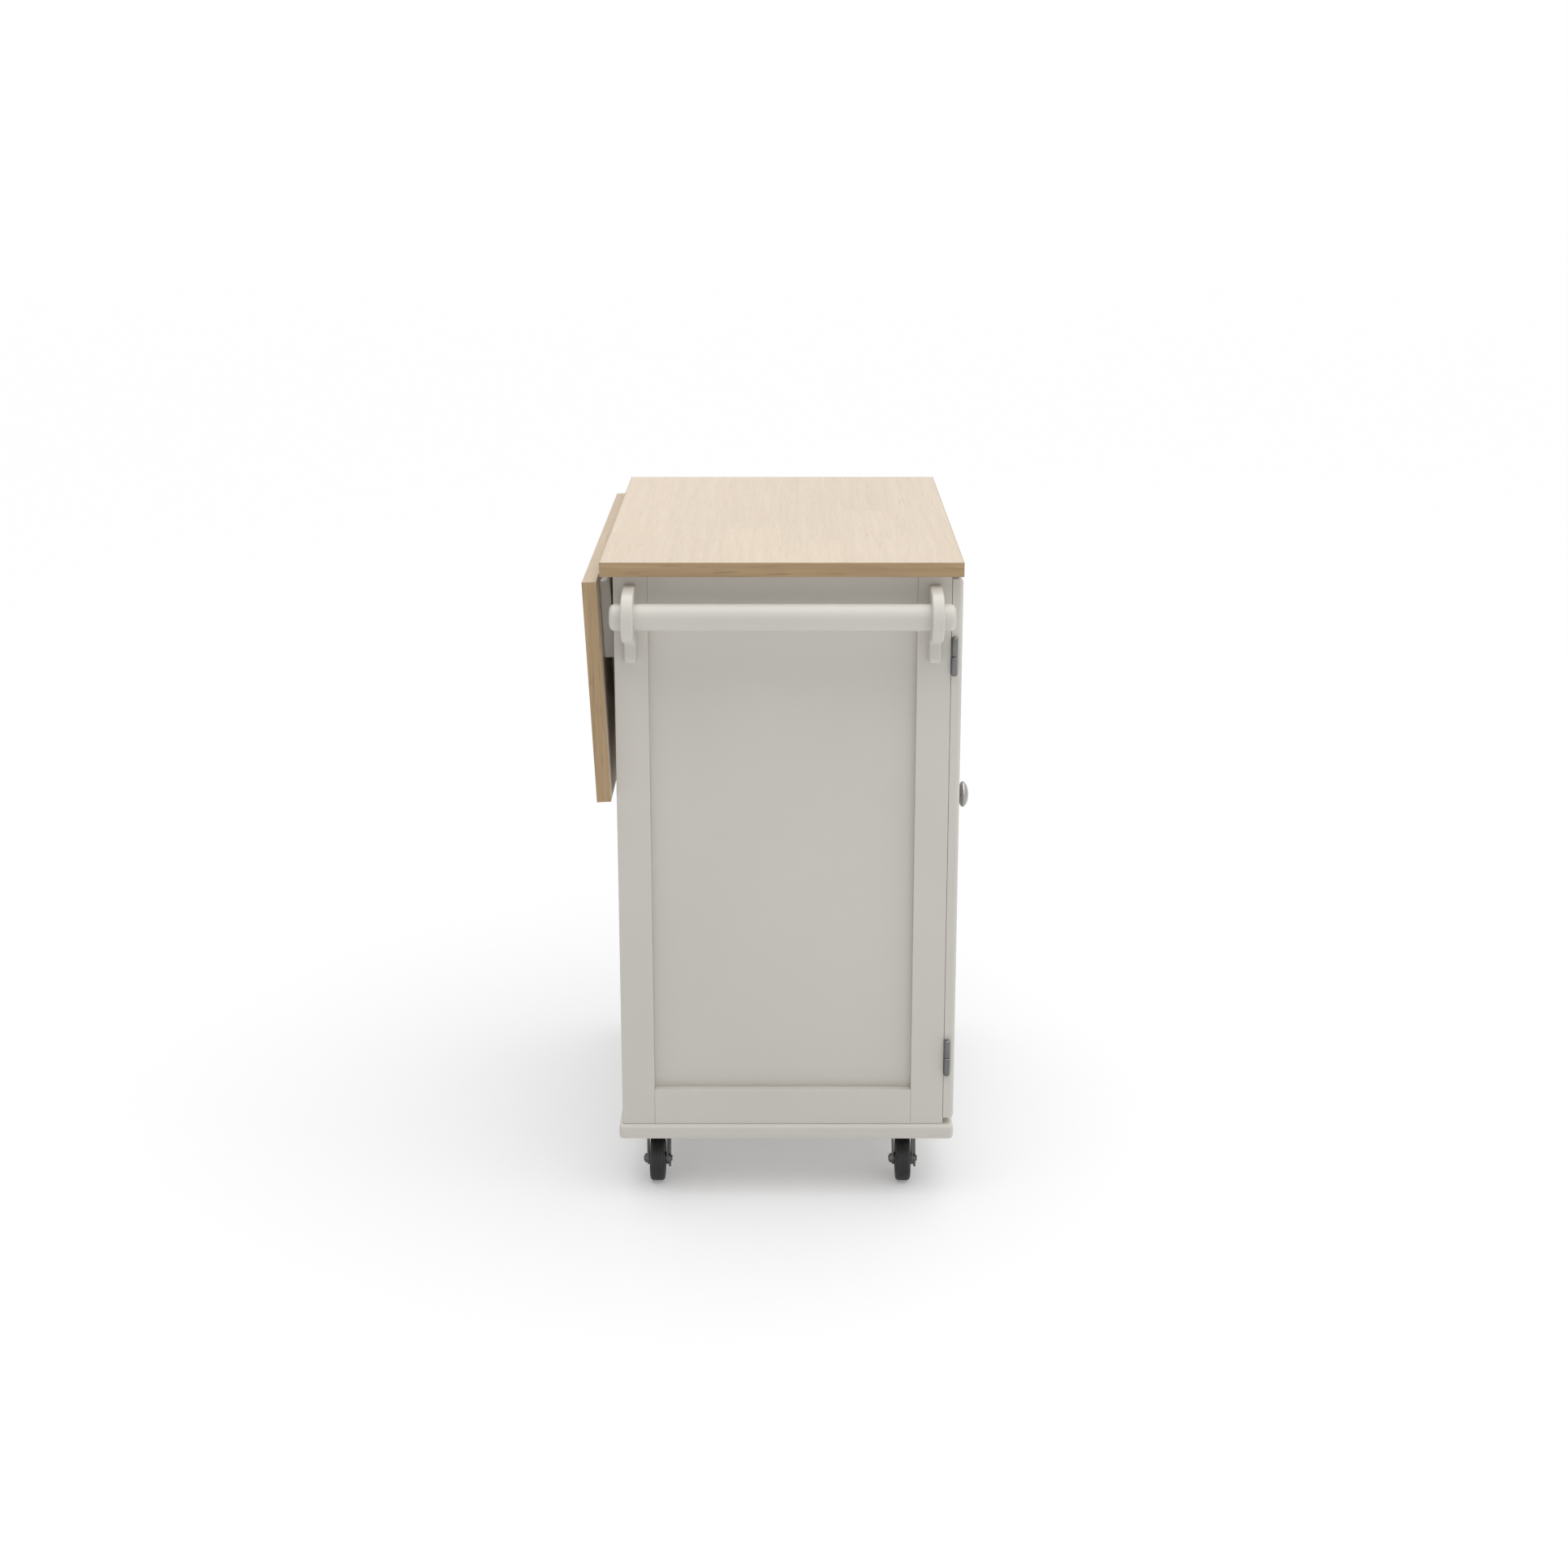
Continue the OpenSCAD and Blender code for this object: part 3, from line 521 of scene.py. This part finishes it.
# %% Painted frame pieces
for node in ("left_stiles", "left_rails", "right_stiles", "right_rails", "front_rails",
             "front_centre_stile", "back_rails"):
    soften(node, "cabinet", white_paint)
for node in ("left_panel", "right_panel", "back_panel"):
    soften(node, "cabinet", white_paint, 0.3 * MM)
for node in ("partition", "shelf"):
    soften(node, "cabinet", inside_paint)
print("ten painted frame pieces and two inside boards")

# %% [markdown]
# The base board has the roundest edges of the cabinet. Two rows of faces would show as
# flats there, so it gets six. The battens behind the leaf are only eased.

# %% The base board and the battens
BASE_ROUND = 6 * MM
soften("base_board", "cabinet", white_paint, BASE_ROUND, segments=6)
soften("leaf_battens", "leaf", white_paint, 1.5 * MM)
print("the base board is rounded by", BASE_ROUND / MM, "mm")

# %% [markdown]
# On the door and the drawers only the outside edge of the front is rounded over, by six
# millimetres. The inside edges of the door's frame, next to the panel, are just eased. An
# edge belongs to the outside when both of its ends lie on the front face and on the outline.
# The back of the door's frame is drawn 0.9 mm deeper than the CAD, over the hinge plates
# that it hides. A fitted door shows only a hairline there.

# %% Door and drawer fronts
FRONT_ROUND = 6 * MM
BACK_DEEPER = 0.9 * MM
TOUCH = 0.05 * MM
door_low, door_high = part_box("door_stiles")


def on_front_outline(low, high):
    def test(a, b):
        front = abs(a.y - low.y) < TOUCH and abs(b.y - low.y) < TOUCH
        on_side = any(abs(a.x - x) < TOUCH and abs(b.x - x) < TOUCH for x in (low.x, high.x))
        on_end = any(abs(a.z - z) < TOUCH and abs(b.z - z) < TOUCH for z in (low.z, high.z))
        return front and (on_side or on_end)
    return test


for node in ("door_stiles", "door_rails"):
    soften(node, "door", white_paint, 0.5 * MM,
           wide=[(on_front_outline(door_low, door_high), FRONT_ROUND)], deeper=BACK_DEEPER)
soften("door_panel", "door", white_paint, 0.3 * MM)
for i in range(1, 5):
    body = f"drawer_{i}"
    low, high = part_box(f"drawer_front_{i}")
    soften(f"drawer_front_{i}", body, white_paint,
           wide=[(on_front_outline(low, high), FRONT_ROUND)])
    soften(f"drawer_box_{i}", body, drawer_wood, 1.0 * MM)
print("one door and four drawers")

# %% [markdown]
# ## The towel bar
# The bar is a turned pole with softly rounded ends, held by two brackets sawn from board:
# a round nose around the bar that runs through a hollow curve into a straight foot.

# %% Bar and brackets
bar_low, bar_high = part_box("towel_bar")
bar_radius = (bar_high.z - bar_low.z) / 2
bar_centre = (bar_low + bar_high) / 2
half_bar = (bar_high.y - bar_low.y) / 2
END_ROUND = 7 * MM
pole = [(0, -half_bar)]
pole += arc(bar_radius - END_ROUND, -half_bar + END_ROUND, END_ROUND, -90, 0)
pole += arc(bar_radius - END_ROUND, half_bar - END_ROUND, END_ROUND, 0, 90)
pole += [(0, half_bar)]
keep(stand(lathe(pole, 72), bar_centre, (0, 1, 0)), "turned_towel_bar", "cabinet", white_paint,
     ("towel_bar",))

CORNER = 9 * MM
HOLLOW = 12 * MM
FOOT_SHARE = 0.813
NOSE_REACH = 26 * MM
BRACKET_EASE = 2.5 * MM
for node in ("towel_bracket_front", "towel_bracket_back"):
    low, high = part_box(node)
    nose = bar_centre.x - low.x
    plate = low.x + (high.x - low.x) * FOOT_SHARE
    outline = [(high.x, low.z), (high.x, high.z), (bar_centre.x + NOSE_REACH, high.z)]
    outline += arc(bar_centre.x, bar_centre.z, nose, 84, 270, 20)
    outline += [(plate - HOLLOW, bar_centre.z - nose)]
    outline += arc(plate - HOLLOW, bar_centre.z - nose - HOLLOW, HOLLOW, 90, 0, 6)[1:]
    outline += arc(plate + CORNER, low.z + CORNER, CORNER, 180, 270, 6)
    shape = bmesh.new()
    face = shape.faces.new([shape.verts.new((x, low.y, z)) for x, z in outline])
    grown = bmesh.ops.extrude_face_region(shape, geom=[face])["geom"]
    moved = [v for v in grown if isinstance(v, bmesh.types.BMVert)]
    bmesh.ops.translate(shape, verts=moved, vec=(0, high.y - low.y, 0))
    bmesh.ops.recalc_face_normals(shape, faces=shape.faces)
    rims = [e for e in shape.edges if abs(e.verts[0].co.y - e.verts[1].co.y) < TOUCH]
    wall = [e for e in rims if all(abs(v.co.x - high.x) < TOUCH for v in e.verts)]
    round_over(shape, [e for e in rims if e not in wall], BRACKET_EASE, 4)
    keep(shape, "sawn_" + node, "cabinet", white_paint, (node,))
print("bar diameter", round(2 * bar_radius / MM, 1), "mm")

# %% [markdown]
# ## Knobs
# Each knob is turned: a foot flange, a slim waist, a flared neck, a rounded rim and a
# shallow domed face. All five are one outline, stood on different fronts.


# %% Turn the knobs
RIM_ROUND = 3.2 * MM


def knob_outline(radius, height):
    rim = 0.76 * height
    outline = [(0, 0), (9 * MM, 0), (9.4 * MM, 0.6 * MM), (9 * MM, 1.8 * MM)]
    outline += arc(9.2 * MM, 5 * MM, 3 * MM, 250, 180, 5)
    outline += [(6.0 * MM, 0.36 * height), (7.2 * MM, 0.46 * height), (10.0 * MM, 0.54 * height)]
    outline += [(13.4 * MM, 0.61 * height)]
    outline += arc(radius - RIM_ROUND, rim, RIM_ROUND, -55, 58, 8)
    outline += [(0.78 * radius, 0.905 * height), (0.62 * radius, 0.943 * height)]
    outline += [(0.42 * radius, 0.975 * height), (0.2 * radius, 0.995 * height), (0, height)]
    return outline


knob_bodies = {"door_knob": "door"}
knob_bodies.update({f"drawer_knob_{i}": f"drawer_{i}" for i in range(1, 5)})
for node, body in knob_bodies.items():
    low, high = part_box(node)
    centre = (low + high) / 2
    centre.y = high.y
    outline = knob_outline((high.x - low.x) / 2, high.y - low.y)
    keep(stand(lathe(outline, 56), centre, (0, -1, 0)), "turned_" + node, body, nickel,
         (node,))
print(len(knob_bodies), "knobs turned from one outline")

# %% [markdown]
# ## Hinges, slides and stays
# The steel parts keep their CAD shape, with each sharp edge broken by a quarter of a
# millimetre. Stamped steel is never quite sharp, and the tiny bevel catches the light.

# %% Steel parts
EASE = 0.25 * MM
steel_bodies = {
    "leaf_hinge_fixed_plates": "cabinet", "leaf_hinge_moving_plates": "leaf",
    "stay_brackets": "cabinet", "stay_channels": "leaf", "stay_brace_left": "brace_left",
    "stay_brace_right": "brace_right", "catch_strike": "door", "shelf_pins": "cabinet",
}
for node, body in steel_bodies.items():
    soften(node, body, plated, EASE)
soften("drawer_runners", "cabinet", plated, 1.5 * MM)
soften("magnetic_catch", "cabinet", white_plastic, 1.2 * MM)
for node in ("leaf_hinge_pins", "door_hinge_pins"):
    frame["nodes"][node].data.materials.clear()
    frame["nodes"][node].data.materials.append(plated)
print("rounded steel pieces:", len(steel_bodies) + 1)

# %% [markdown]
# A door hinge is two plates rolled round one pin. Each half is a turned barrel with a
# domed tip and a thin plate that lies in the gap behind the door. The fixed half is the
# upper one, the half that moves with the door the lower one.

# %% Door hinges
door_axis = joints["door_hinge"]["pos_m"]
DOME = 2.8 * MM
TIP = 1.1 * MM
ROLLED_EDGE = 0.9 * MM
for node, body, up in (("door_hinge_fixed_leaves", "cabinet", 1),
                       ("door_hinge_moving_leaves", "door", -1)):
    low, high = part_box(node)
    barrel_radius = door_axis[0] - low.x
    corners = [v.co for v in frame["nodes"][node].data.vertices]
    plate_y = [p.y for p in corners if p.x > high.x - TOUCH]
    middle = (low.z + high.z) / 2
    lower_top = max(p.z for p in corners if p.z < middle)
    upper_bottom = min(p.z for p in corners if p.z > middle)
    shape = bmesh.new()
    for bottom, top in ((low.z, lower_top), (upper_bottom, high.z)):
        tall = top - bottom + TIP
        outline = [(0, 0), (barrel_radius - ROLLED_EDGE, 0), (barrel_radius, ROLLED_EDGE)]
        outline += arc(barrel_radius - DOME, tall - DOME, DOME, 0, 90, 6) + [(0, tall)]
        foot = (door_axis[0], door_axis[1], bottom if up > 0 else top)
        join(stand(lathe(outline, 32), foot, (0, 0, up)), shape)
        add_box(shape, (door_axis[0], min(plate_y), bottom), (high.x, max(plate_y), top))
    keep(shape, "rolled_" + node, body, plated, (node,))
print("hinge barrels are", round(2 * barrel_radius / MM, 1), "mm thick")

# %% [markdown]
# ## Screws
# A pan-head screw is a low dome. Its cross recess is not cut: a near-black cross is set into
# the dome as painted shade. It is turned with few steps because there are dozens of them.
# Its outline is given in shares of its radius. The screws of one kind of fitting are one
# piece, to keep the list of pieces short.


# %% Drive the screws
SCREW_OUTLINE = ((0, 0), (1, 0), (0.96, 0.30), (0.7, 0.55), (0, 0.66))
SLOT_LONG, SLOT_WIDE, SLOT_LOW, SLOT_HIGH = 0.62, 0.12, 0.45, 0.68
DOWN = Vector((0, 0, -1))
CASTER_PLATE = 2.5 * MM
HINGE_STEP = 120 * MM
ENDS, SIDES = ("left", "right"), ("front", "back")


def screw(shape, where, direction, radius):
    head = lathe([(r * radius, h * radius) for r, h in SCREW_OUTLINE], 14)
    for x, y in ((SLOT_LONG, SLOT_WIDE), (SLOT_WIDE, SLOT_LONG)):
        low, high = Vector((-x, -y, SLOT_LOW)), Vector((x, y, SLOT_HIGH))
        add_box(head, radius * low, radius * high)
    # The cross is painted shade: its faces take the near-black finish in place of a shaded, cut
    # recess.
    for face in head.faces[-12:]:
        face.material_index = 1
    join(stand(head, where, direction), shape)


def drive(name, body, places, radius):
    shape = bmesh.new()
    for where, direction in places:
        screw(shape, where, direction, radius)
    keep(shape, name, body, [plated, painted_recess_shade])
    return len(places)


caster_centres = [joints[f"swivel_{end}_{side}"]["pos_m"] for end in ENDS for side in SIDES]
plate_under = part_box("caster_plates")[1].z - CASTER_PLATE
count = drive("caster_screws", "cabinet",
              [((x + dx, y + dy, plate_under), DOWN) for x, y, _ in caster_centres
               for dx in (-25 * MM, 25 * MM) for dy in (-18 * MM, 18 * MM)], 3.2 * MM)
fixed_low, fixed_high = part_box("leaf_hinge_fixed_plates")
hinge_x = [(fixed_low.x + fixed_high.x) / 2 + side * HINGE_STEP for side in (-1, 0, 1)]
screw_y, screw_z = leaf_pivot.y + 22 * MM, leaf_low.z - 1.6 * MM
count += drive("leaf_hinge_screws", "leaf",
               [(swing @ Vector((x + dx, screw_y, screw_z)), swing.to_3x3() @ DOWN)
                for x in hinge_x for dx in (-20 * MM, 0, 20 * MM)], 2.6 * MM)
stay_low, stay_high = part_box("stay_brackets")
stay_z = (stay_low.z + stay_high.z) / 2
plate_face = stay_low.y + 2 * MM
count += drive("stay_bracket_screws", "cabinet",
               [((x, plate_face, stay_z + dz), (0, 1, 0))
                for x in (stay_low.x + 10 * MM, stay_high.x - 10 * MM)
                for dz in (-13 * MM, 13 * MM)], 2.8 * MM)
print(count, "screws")

# %% [markdown]
# ## Casters
# A swivel caster has a plate screwed to the base, a ball race under it, a pressed steel
# fork, a wheel on an axle, and on two of them a foot brake. The tyre is a turned ring with
# shallow grooves, and the hub is a separate plastic disc with spokes.

# %% Wheels, forks and brakes
HUB_SHARE = 0.66
SIDE_GAP = 1.5 * MM
SHOULDER = 5 * MM
GROOVE_STEP, GROOVE_DEEP = 3.4 * MM, 0.35 * MM
BORE, BOSS = 4.05 * MM, 9 * MM
SPOKES = 5


def tyre_outline(radius, half, inner):
    outline = [(inner, -half + 2 * MM), (inner + 2 * MM, -half)]
    outline += arc(radius - SHOULDER, -half + SHOULDER, SHOULDER, -90, 0, 6)
    for groove in (-1, 0, 1):
        at = groove * GROOVE_STEP
        outline += [(radius, at - 0.5 * MM), (radius - GROOVE_DEEP, at - 0.25 * MM)]
        outline += [(radius - GROOVE_DEEP, at + 0.25 * MM), (radius, at + 0.5 * MM)]
    outline += arc(radius - SHOULDER, half - SHOULDER, SHOULDER, 0, 90, 6)
    return outline + [(inner + 2 * MM, half), (inner, half - 2 * MM), outline[0]]


def hub_disc(half, inner):
    edge = [(BORE, -half - SIDE_GAP), (BOSS, -half - SIDE_GAP), (BOSS + MM, -half + 2.5 * MM)]
    edge += [(inner - 2.5 * MM, -half + 3 * MM), (inner, -half + 2 * MM)]
    disc = lathe(edge + [(r, -h) for r, h in reversed(edge)] + edge[:1], 40)
    for spoke in range(SPOKES):
        turn = Matrix.Rotation(math.tau * spoke / SPOKES, 4, "Z")
        for face_side in (-1, 1):
            a, b = sorted((face_side * (half - 3.4 * MM), face_side * (half - 1.6 * MM)))
            rib = add_box(disc, (BOSS, -1.2 * MM, a), (inner - 1 * MM, 1.2 * MM, b))
            bmesh.ops.transform(disc, matrix=turn, verts=rib)
    return disc


soften("caster_plates", "cabinet", zinc, 0.4 * MM)
for tag in (f"{end}_{side}" for end in ENDS for side in SIDES):
    soften(f"caster_fork_{tag}", f"fork_{tag}", zinc, 0.4 * MM)
    low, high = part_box(f"caster_wheel_{tag}")
    centre = (low + high) / 2
    radius = (high.z - low.z) / 2
    half = (high.y - low.y) / 2 - SIDE_GAP
    inner = HUB_SHARE * radius
    tyre = stand(lathe(tyre_outline(radius, half, inner), 64), centre, (0, 1, 0))
    keep(tyre, f"tyre_{tag}", f"wheel_{tag}", rubber, (f"caster_wheel_{tag}",))
    hub = stand(hub_disc(half, inner), centre, (0, 1, 0))
    keep(hub, f"hub_{tag}", f"wheel_{tag}", hub_plastic)
for tag in ("left_front", "left_back"):
    soften(f"caster_brake_{tag}", f"brake_{tag}", zinc, 0.5 * MM)
print("four casters, two with brakes")

# %% [markdown]
# ## The room
# The table stands on a plain pale floor in front of nothing. A large soft light overhead
# makes the top bright and the upright faces greyer, and a dim even sky fills the rest. The
# sky is white where it is seen or mirrored, but the light that it gives is dimmer.

# %% Floor, light and sky
FLOOR_GLOW = 0.24
SKY = 0.12
SUN = 2.95
shape = bmesh.new()
bmesh.ops.create_grid(shape, x_segments=1, y_segments=1, size=60)
mesh = bpy.data.meshes.new("studio_floor")
shape.to_mesh(mesh)
shape.free()
floor = bpy.data.objects.new("studio_floor", mesh)
floor_recipe = Recipe("pale_floor", 0.9)
floor_recipe.colour((0.70, 0.70, 0.71, 1))
floor_recipe.shader.inputs["Specular IOR Level"].default_value = 0.1
floor_recipe.shader.inputs["Emission Color"].default_value = (1, 1, 1, 1)
floor_recipe.shader.inputs["Emission Strength"].default_value = FLOOR_GLOW
mesh.materials.append(floor_recipe.material)
bpy.context.scene.collection.objects.link(floor)
floor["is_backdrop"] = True

world = bpy.data.worlds.new("soft_sky")
bpy.context.scene.world = world
world.use_nodes = True
tree = world.node_tree
background = tree.nodes["Background"]
path = tree.nodes.new("ShaderNodeLightPath")
seen = tree.nodes.new("ShaderNodeMath")
seen.operation = "MAXIMUM"
tree.links.new(path.outputs["Is Camera Ray"], seen.inputs[0])
tree.links.new(path.outputs["Is Glossy Ray"], seen.inputs[1])
strength = tree.nodes.new("ShaderNodeMapRange")
tree.links.new(seen.outputs[0], strength.inputs["Value"])
strength.inputs["To Min"].default_value = SKY
strength.inputs["To Max"].default_value = 1.0
tree.links.new(strength.outputs[0], background.inputs["Strength"])
background.inputs["Color"].default_value = (1, 1, 1, 1)


def softbox(name, where, aim, size, watts):
    lamp = bpy.data.lights.new(name, "AREA")
    lamp.shape = "RECTANGLE"
    lamp.size, lamp.size_y = size
    lamp.energy = watts
    holder = bpy.data.objects.new(name, lamp)
    holder.location = where
    holder.rotation_euler = (Vector(aim) - Vector(where)).to_track_quat("-Z", "Y").to_euler()
    bpy.context.scene.collection.objects.link(holder)


overhead = bpy.data.lights.new("overhead_cloud", "SUN")
overhead.energy = SUN
overhead.angle = math.radians(90)
holder = bpy.data.objects.new("overhead_cloud", overhead)
holder.rotation_euler = (math.radians(4), 0, 0)
bpy.context.scene.collection.objects.link(holder)
softbox("side_softbox", (-0.6, -3.6, 1.7), (0, 0, 0.6), (2.4, 2.0), 12)
softbox("end_softbox", (-3.3, -0.8, 2.4), (0, 0, 0.7), (3.0, 2.0), 14)
print("one wide light overhead, two soft ones at the sides and an even sky")

# %% [markdown]
# ## The camera
# The table is seen from its towel-bar end, from a little above its top. The camera leans
# down at the table's middle, and a small shift of the frame keeps the upright edges
# closer to upright, as a view camera does for furniture.

# %% Camera
CAMERA_HEIGHT = 1.5263
CAMERA_BACK = 3.0154
LEAN = math.radians(14.939)
FRAME_SHIFT = -0.05
LENS = 54.222
eye = bpy.data.cameras.new("view_camera")
eye.lens = LENS
eye.sensor_width = 36
eye.shift_y = FRAME_SHIFT
camera = bpy.data.objects.new("view_camera", eye)
middle_y = sum(corner.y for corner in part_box("left_stiles")) / 2
camera.location = (top_low.x - CAMERA_BACK, middle_y - 1.9 * MM, CAMERA_HEIGHT)
camera.rotation_euler = (math.radians(90) - LEAN, 0, math.radians(-90))
bpy.context.scene.collection.objects.link(camera)
bpy.context.scene.camera = camera
bpy.context.scene.view_settings.view_transform = "Standard"
print("camera at", [round(c, 3) for c in camera.location])

# %% [markdown]
# ## The size
# The box around the visual model is printed, in metres. The visual model has to stay
# inside the CAD box.

# %% Sizes and finish
low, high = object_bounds()
print("visual box in metres:", [round(c, 4) for c in (high - low)])
